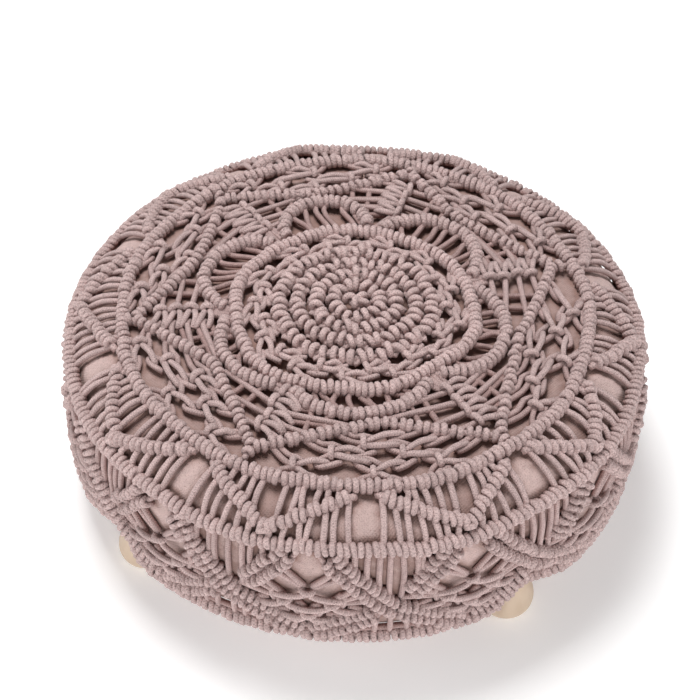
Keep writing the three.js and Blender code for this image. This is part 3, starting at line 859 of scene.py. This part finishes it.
def makeShoulder():
    cords = []
    for reach, bar in ((upperRing, tightBar), (shoulder["ring"], rimBar)):
        addBar(cords, crown, sway(ringRoute(reach), *shoulder["ringSway"]), bar)
    count = len(zigzagTips)
    for k, tip in enumerate(zigzagTips):
        before = zigzagTips[k - 1] - (360 if k == 0 else 0)
        after = zigzagTips[(k + 1) % count] + (360 if k == count - 1 else 0)
        ends = ((before + tip) / 2 + shoulder["window"], (tip + after) / 2 - shoulder["window"])
        for end, lean in zip(ends, shoulder["leans"]):
            angles = np.linspace(end, tip, 13)
            reaches = np.linspace(shoulder["top"], shoulder["tip"], 13)
            route = np.array([crownPlace(r, a) for r, a in zip(reaches, angles)])
            addBar(cords, crown, sway(route, *shoulder["barSway"]), {**tightBar, "lean": lean})
        tipKnob = knotAt(crownPlace(shoulder["tip"] + shoulder["tipOut"], tip), crownPlace(1, tip))
        addKnotLoops(cords, crown, [tipKnob], tipLoop)
        addShoulderCords(cords, tip, ends)
    return cordPiece("shoulderBand", cords, cordMaterial)


# the wall: a lattice of doubled bars between the shoulder ring and the hem
lattice = {"count": 12, "first": -127.5, "window": 3.6, "top": 203.5, "cross": 249.0, "crossTurn": 15.0,
           "foot": 272.5, "footTurn": 29.0, "hem": 277.0, "backing": 4.6, "backLift": 1.3, "pairOffset": 4.4,
           "crossShare": 0.45, "crossGap": 0.11, "armSway": (0.4, 1), "hemSway": (0.4, 5)}


# how far down an arm has come at this turn from its apex
def armReach(turn):
    return np.interp(turn, (lattice["window"], lattice["crossTurn"], lattice["footTurn"]),
                     (lattice["top"], lattice["cross"], lattice["foot"]))


# an arm's route, its bend at the crossing eased
def latticeArm(apex, side):
    turns = np.linspace(lattice["window"], lattice["footTurn"], 33)
    depths = np.pad(armReach(turns), 2, mode="reflect", reflect_type="odd")
    depths = np.convolve(depths, np.ones(5) / 5, mode="valid")
    return np.array([wallPlace(depth, apex + side * turn) for turn, depth in zip(turns, depths)])


def makeLattice():
    cords = []
    pitch = 360 / lattice["count"]
    for k in range(lattice["count"]):
        apex = lattice["first"] + k * pitch
        for side in (-1, 1):
            arm = latticeArm(apex, side)
            parts = [arm]
            if side < 0:  # this arm dives under the other where they cross
                hidden = np.abs(np.linspace(0, 1, len(arm)) - lattice["crossShare"]) < lattice["crossGap"]
                parts = [arm[:np.argmax(hidden)], arm[len(arm) - np.argmax(hidden[::-1]):]]
            for part in parts:
                for offset in (-lattice["pairOffset"], lattice["pairOffset"]):
                    route = offsetRoute(part, offset)
                    addBar(cords, wall, sway(route, *lattice["armSway"]), slimBar)
    hem = np.array([wallPlace(lattice["hem"], a) for a in np.linspace(0, 360, 181)])
    addBar(cords, wall, sway(hem, *lattice["hemSway"]), tightBar)
    addCord(cords, wall, [(at, lattice["backLift"]) for at in hem + [0, lattice["backing"]]], 1)
    return cordPiece("wallLattice", cords, cordMaterial)


wallFill = {"turnSpread": 0.25, "hangPitch": 2.15, "hangStart": 0.6, "hangLifts": (2.4, 2.5, 2.6, 2.5, 2.4),
            "hangBow": 0.25, "shortestHang": 11.0,
            "slantShares": (0.2, 0.36, 0.52, 0.68, 0.84), "slantBow": 0.6, "linkShares": (0.25, 0.5, 0.72),
            "footPitch": 2.75, "footTurns": (4.0, 3.9), "footBow": 0.5, "shortestFoot": 10.0, "footOut": 2.0}
# the knots in the middle of each diamond: degrees aside, reach
diamondKnots = [(0, 234), (-4.4, 245), (4.4, 245), (0, 256)]


# cords that hang from the shoulder ring to the arms on either side
def addHangingCords(cords, apex, pitch):
    lifts = wallFill["hangLifts"]
    firstTurn, lastTurn = lattice["window"] + wallFill["hangStart"], pitch - lattice["window"]
    for turn in np.arange(firstTurn, lastTurn, wallFill["hangPitch"]):
        depth = armReach(min(turn, pitch - turn))
        if depth - shoulder["ring"] > wallFill["shortestHang"]:
            angle = apex + turn + rng.normal(0, wallFill["turnSpread"])
            bow = rng.normal(0, wallFill["hangBow"])
            spots = np.linspace(shoulder["ring"] + 1, depth, len(lifts))
            angles = angle + bow * np.sin(np.linspace(0, math.pi, len(lifts)))
            addCord(cords, wall, [(wallPlace(*place), lift) for *place, lift in zip(spots, angles, lifts)])


# the four knots of a diamond, and the cords that tie them to its arms
def addDiamond(cords, apex):
    knots = [knotAt(wallPlace(reach, apex + aside), (0, -1)) for aside, reach in diamondKnots]
    topKnot, leftKnot, rightKnot, bottomKnot = knots
    addKnotLoops(cords, wall, knots)
    for start, end, outSide in ((topKnot, leftKnot, 1), (topKnot, rightKnot, -1),
                                (leftKnot, bottomKnot, -1), (rightKnot, bottomKnot, 1)):
        addLink(cords, wall, start, end, outSide, outSide)
    for side, sideKnot in ((-1, leftKnot), (1, rightKnot)):
        top = wallPlace(lattice["top"], apex + side * lattice["window"])
        crossing = wallPlace(lattice["cross"], apex + side * lattice["crossTurn"])
        bottom = wallPlace(lattice["foot"] + wallFill["footOut"], apex + side)
        goals = [by(topKnot, -2, -2.5 * side), by(topKnot, -1, -3.5 * side), by(sideKnot, -2, 0),
                 by(sideKnot, -1, -3 * side), by(sideKnot, 1, -4 * side)]
        for share, goal in zip(wallFill["slantShares"], goals):
            start = top + (crossing - top) * share
            addStrand(cords, wall, start, goal, rng.normal(0, wallFill["slantBow"]))
        for share, knot in zip(wallFill["linkShares"], (bottomKnot, bottomKnot, sideKnot)):
            end = bottom + (crossing - bottom) * share
            addLink(cords, wall, knot, knotAt(end, (0, -1)), -side, 0)


# short cords from the arms down to the hem
def addFootCords(cords, apex, pitch):
    firstTurn, lastTurn = wallFill["footTurns"][0], pitch - wallFill["footTurns"][1]
    for turn in np.arange(firstTurn, lastTurn, wallFill["footPitch"]):
        depth = armReach(max(turn, pitch - turn))
        if lattice["hem"] - depth > wallFill["shortestFoot"]:
            angle = apex + turn + rng.normal(0, wallFill["turnSpread"])
            start, end = wallPlace(depth, angle), wallPlace(lattice["hem"], angle)
            addStrand(cords, wall, start, end, rng.normal(0, wallFill["footBow"]))


def makeWallFill():
    cords = []
    pitch = 360 / lattice["count"]
    for k in range(lattice["count"]):
        apex = lattice["first"] + k * pitch
        addHangingCords(cords, apex, pitch)
        addDiamond(cords, apex)
        addFootCords(cords, apex, pitch)
    return cordPiece("wallCords", cords, cordMaterial)


middlePiece = makeMiddle()
crownCords, petalArcs = makePetals()
starArms = makeArms(crownCords)
makeKites(crownCords, petalArcs, starArms)
makeNets(crownCords, starArms)
crownPiece = cordPiece("starNet", crownCords, cordMaterial)
shoulderPiece = makeShoulder()
latticePiece = makeLattice()
wallPiece = makeWallFill()
coverPieces = [middlePiece, crownPiece, shoulderPiece, latticePiece, wallPiece]
print("cover made")

weldGap = 0.00002  # metres


# a closed shape spun about an upright axis through at; the section runs from axis to axis
def spinSection(bm, section, at, steps, turn=0.0):
    east, north = math.cos(turn), math.sin(turn)
    line = [bm.verts.new(at + Vector((r * east, r * north, h)) * mm) for r, h in section]
    edges = [bm.edges.new(pair) for pair in zip(line, line[1:])]
    bmesh.ops.spin(bm, geom=line + edges, cent=at, axis=(0, 0, 1), angle=2 * math.pi, steps=steps,
                   use_merge=True)
    bmesh.ops.remove_doubles(bm, verts=bm.verts, dist=weldGap)
    bmesh.ops.recalc_face_normals(bm, faces=bm.faces)


# the cushion: a spun drum whose cloth swells between the cords that hold it
cushion = {"rows": 96, "steps": 256, "pressure": 4.0, "frames": 20, "swell": 3.2, "held": 4.2, "free": 8.0,
           "plainSwell": 2.4, "plainWidth": 11.0, "sink": 3.4, "sinkReach": (100, 128),
           "sinkShares": (1, 0.35), "paintedShadeSpan": (1.8, 4.8), "crownShadeReach": (88, 116, 160, 175),
           "crownShade": (0.1, 0.58, 0.58, 1)}
# round the shoulder it stands up in the windows between the zigzag's tips, and has painted shade above each
# tip
puff = {"height": 2.4, "reach": (163, 170, 190, 199), "fromTip": (3.5, 6.5), "fromCord": (1.5, 6.0),
        "shade": 0.5}


def makeCushion():
    reaches = np.linspace(0, sectionReach[-1], cushion["rows"])
    section = np.stack([np.interp(reaches, sectionReach, sectionLine[:, k]) for k in (0, 1)], axis=-1)
    section = np.vstack([section, [(0, sectionLine[-1, 1])]])
    axis = Vector((drumMiddle[0], drumMiddle[1], 0)) * mm
    bm = bmesh.new()
    spinSection(bm, section, axis, cushion["steps"])
    for vert in bm.verts:
        spot = vert.co.xy - axis.xy
        pull = drawnIn(vert.co.z / mm, math.atan2(spot.y, spot.x)) / wallRadius
        vert.co.xy = axis.xy + spot * (1 - pull)
    mesh = bpy.data.meshes.new("drumCushion")
    bm.to_mesh(mesh)
    bm.free()
    piece = bpy.data.objects.new("drumCushion", mesh)
    scene.collection.objects.link(piece)
    return piece


# how far each point of the cloth is from the nearest cord
def cordDistances(piece):
    spots = np.concatenate([np.array([v.co for v in cover.data.vertices])[::3] for cover in coverPieces])
    tree = KDTree(len(spots))
    for k, spot in enumerate(spots):
        tree.insert(spot, k)
    tree.balance()
    return np.array([tree.find(v.co)[2] for v in piece.data.vertices]) / mm


# cloth under pressure, held by the cords; gives how far each point moves
def pressCloth(piece, hold, rest):
    group = piece.vertex_groups.new(name="held")
    for k, weight in enumerate(hold):
        group.add([k], float(weight), "REPLACE")
    cloth = piece.modifiers.new("swell", "CLOTH")
    settings = cloth.settings
    settings.quality = 5
    settings.mass = 0.3
    settings.use_pressure = True
    settings.uniform_pressure_force = cushion["pressure"]
    settings.vertex_group_mass = "held"
    settings.effector_weights.gravity = 0
    cloth.point_cache.frame_start, cloth.point_cache.frame_end = 1, cushion["frames"]
    for step in range(1, cushion["frames"] + 1):
        scene.frame_set(step)
    shape = piece.evaluated_get(bpy.context.evaluated_depsgraph_get())
    moved = np.array([v.co for v in shape.data.vertices]) - rest
    piece.modifiers.remove(cloth)
    piece.vertex_groups.clear()
    scene.frame_set(1)
    return moved


def swellCushion(piece):
    rest = np.array([v.co for v in piece.data.vertices])
    normals = np.array([v.normal for v in piece.data.vertices])
    distances = cordDistances(piece)
    reach = np.hypot(rest[:, 0], rest[:, 1]) / mm
    turns = np.degrees(np.arctan2(rest[:, 1], rest[:, 0]))
    fromTip = np.abs((turns[:, None] - zigzagTips + 180) % 360 - 180).min(axis=1)
    between = np.interp(fromTip, puff["fromTip"], (0, 1))
    band = np.interp(reach, puff["reach"], (0, 1, 1, 0)) * (normals[:, 2] > 0.05)
    # painted shade: the cloth darker near the cords
    paintedLight = np.interp(distances, cushion["paintedShadeSpan"], (0, 1))
    # painted shade: the crown's cloth darker, the shoulder's in full light
    paintedLight *= np.interp(reach, cushion["crownShadeReach"], cushion["crownShade"])
    # painted shade above each zigzag tip
    paintedLight *= 1 - puff["shade"] * band * (1 - between)
    piece.data.attributes.new("paintedLight", "FLOAT", "POINT").data.foreach_set("value", paintedLight.astype(np.float32))
    hold = np.clip((cushion["free"] - distances) / (cushion["free"] - cushion["held"]), 0, 1)
    hold[rest[:, 2] < (sectionLine[-1, 1] + 3) * mm] = 1  # the base stays flat
    moved = pressCloth(piece, hold, rest)
    size = np.linalg.norm(moved, axis=1, keepdims=True) / mm
    print("cloth swell", round(float(size.max()), 2), round(float(np.percentile(size, 90)), 2))
    moved *= np.tanh(size / cushion["swell"]) * cushion["swell"] / np.maximum(size, 1e-6)
    # on the crown the net is drawn taut and the cloth lies deeper between the cords
    sink = cushion["sink"] * np.interp(reach, cushion["sinkReach"], cushion["sinkShares"])
    sink *= normals[:, 2] > 0.3
    rise = puff["height"] * band * between * np.interp(distances, puff["fromCord"], (0, 1))
    moved += normals * ((rise - sink) * mm)[:, None]
    piece.data.vertices.foreach_set("co", (rest + moved).astype(np.float32).ravel())
    piece.data.update()


def finishCushion(piece):
    bm = bmesh.new()
    bm.from_mesh(piece.data)
    bmesh.ops.smooth_vert(bm, verts=bm.verts, factor=0.3, use_axis_x=True, use_axis_y=True, use_axis_z=True)
    weave = bm.loops.layers.uv.new("weaveRun")
    for face in bm.faces:
        for loop in face.loops:
            spot = loop.vert.co / mm
            turn = math.atan2(spot.y, spot.x)
            flat = face.normal.z > 0.6
            loop[weave].uv = (spot.x, spot.y) if flat else (turn * wallRadius, spot.z)
    bm.to_mesh(piece.data)
    bm.free()
    piece.data.shade_smooth()
    piece.data.materials.append(clothMaterial)
    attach(piece, "root")
    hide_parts("cushion")


cushionPiece = makeCushion()
swellCushion(cushionPiece)
finishCushion(cushionPiece)
print("cushion made")

# turned bun feet, radius and height from the floor up
foot = {"count": 4, "steps": 64,
        "section": [(0, 0), (12.4, 0), (15.8, 1.2), (18.0, 4.4), (19.1, 8.8), (19.0, 13.2), (17.7, 18.8),
                    (15.4, 24.2), (13.7, 28.6), (13.3, 34)]}


def makeFoot(number):
    low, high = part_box(f"foot_{number}")
    at = Vector(((low.x + high.x) / 2, (low.y + high.y) / 2, low.z))
    base, *side = foot["section"]
    curve = np.vstack([base, smoothPath(side, 4), (0, side[-1][1])])
    bm = bmesh.new()
    spinSection(bm, curve, at, foot["steps"], math.radians(firstFoot + 90 * (number - 1)))
    for face in bm.faces:
        face.smooth = abs(face.normal.z) < 0.99
    mesh = bpy.data.meshes.new(f"bunFoot{number}")
    bm.to_mesh(mesh)
    bm.free()
    mesh.materials.append(woodMaterial)
    piece = bpy.data.objects.new(f"bunFoot{number}", mesh)
    scene.collection.objects.link(piece)
    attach(piece, "root")
    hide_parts(f"foot_{number}")


for number in range(1, foot["count"] + 1):
    makeFoot(number)
print("feet made")

# a plain pale floor, soft light from the upper left and the photo's camera
studio = {"floorSize": 6.0, "world": 0.12, "aim": (0, 0, 0.08)}
lamps = {"key": {"at": (-0.3, 0.5, 1.9), "size": 0.8, "power": 33.5},
         "front": {"at": (0.1, -2.3, 0.6), "size": 1.6, "power": 30.5},
         "left": {"at": (-2.2, -0.5, 0.7), "size": 1.2, "power": 18},
         "right": {"at": (2.2, -0.7, 0.6), "size": 1.2, "power": 17.5}}


def makeStudio():
    bm = bmesh.new()
    bmesh.ops.create_grid(bm, x_segments=1, y_segments=1, size=studio["floorSize"])
    mesh = bpy.data.meshes.new("floor")
    bm.to_mesh(mesh)
    bm.free()
    floorMaterial, tree, shader = newMaterial("paleFloor")
    setInputs(tree, shader, {"Base Color": (0.97, 0.97, 0.97, 1), "Roughness": 0.9, "Specular IOR Level": 0.1,
                             "Emission Color": (1, 1, 1, 1), "Emission Strength": 0.22})
    mesh.materials.append(floorMaterial)
    floor = bpy.data.objects.new("floor", mesh)
    scene.collection.objects.link(floor)
    for name, spec in lamps.items():
        lamp = bpy.data.lights.new(name, "AREA")
        lamp.energy, lamp.size = spec["power"], spec["size"]
        light = bpy.data.objects.new(name, lamp)
        light.location = spec["at"]
        toAim = Vector(studio["aim"]) - Vector(spec["at"])
        light.rotation_euler = toAim.to_track_quat("-Z", "Y").to_euler()
        scene.collection.objects.link(light)
    world = bpy.data.worlds.new("studioAir")
    scene.world = world
    world.use_nodes = True
    air = world.node_tree
    setInputs(air, air.nodes["Background"], {"Color": (1, 1, 1, 1), "Strength": studio["world"]})
    scene.view_settings.view_transform = "Standard"


camera = {"lens": 86.2, "at": (0, -841.64, 943.66), "pitch": 44.34, "roll": 1.24,
          "shift": (-0.0074, -0.0328)}


def makeCamera():
    data = bpy.data.cameras.new("photoCamera")
    data.sensor_width = 36
    data.lens = camera["lens"]
    data.shift_x, data.shift_y = camera["shift"]
    view = bpy.data.objects.new("photoCamera", data)
    tip = Matrix.Rotation(math.radians(90 - camera["pitch"]), 4, "X")
    spin = Matrix.Rotation(math.radians(camera["roll"]), 4, "Z")
    view.matrix_world = Matrix.Translation(Vector(camera["at"]) * mm) @ tip @ spin
    scene.collection.objects.link(view)
    scene.camera = view


makeStudio()
makeCamera()
print("studio made")
